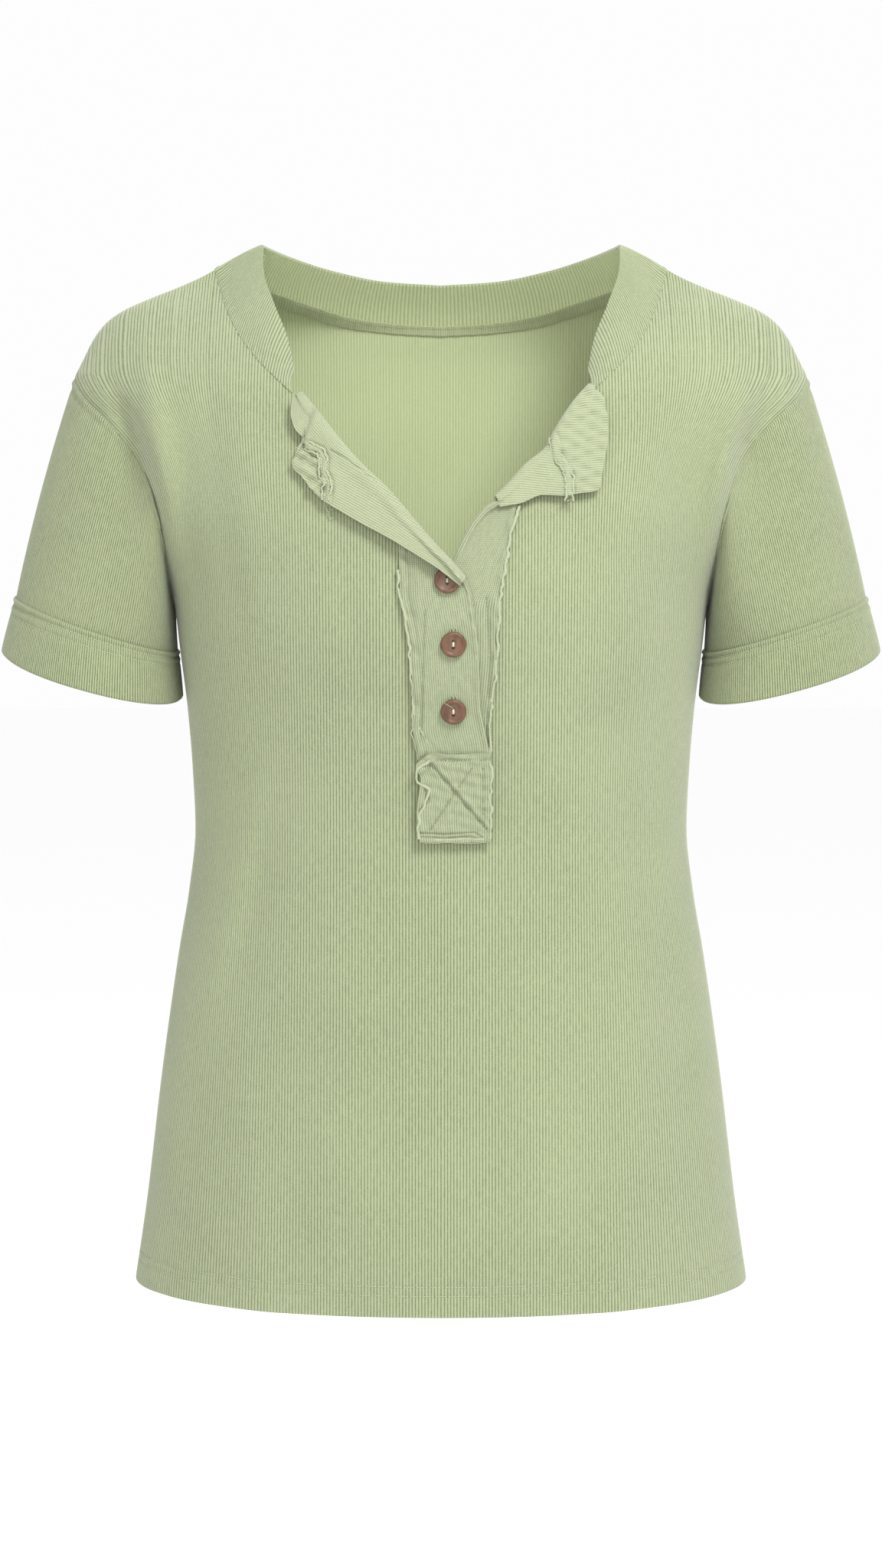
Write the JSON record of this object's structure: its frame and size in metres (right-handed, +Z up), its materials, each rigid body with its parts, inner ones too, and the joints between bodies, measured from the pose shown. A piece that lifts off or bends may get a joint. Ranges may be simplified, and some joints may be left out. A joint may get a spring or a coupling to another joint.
{
  "type": "henley shirt",
  "caption": "Short-sleeved henley top in pale sage rib knit, open at the neck with turned-back placket ends and small wooden buttons.",
  "frame": {"origin": "middle of the neck, level with the neck ends of the shoulder seams, where the wearer's shoulders and neck carry the top", "axes": "+Z up, -Y the front with the buttons, +X the wearer's left"},
  "size_m": [0.5358, 0.2404, 0.6336],
  "materials": {
    "cloth": "matte fine rib knit, pale sage green",
    "button": "satin brown with a dark rim"
  },
  "bodies": {
    "root": {"front_body": "cloth", "back_body": "cloth", "sleeve_left": "cloth", "sleeve_right": "cloth", "cuff_left": "cloth", "cuff_right": "cloth", "neckband": "cloth", "placket_under": "cloth", "placket_upper": "cloth", "placket_box": "cloth", "button_1": "button", "button_2": "button", "button_3": "button"}
  },
  "joints": []
}
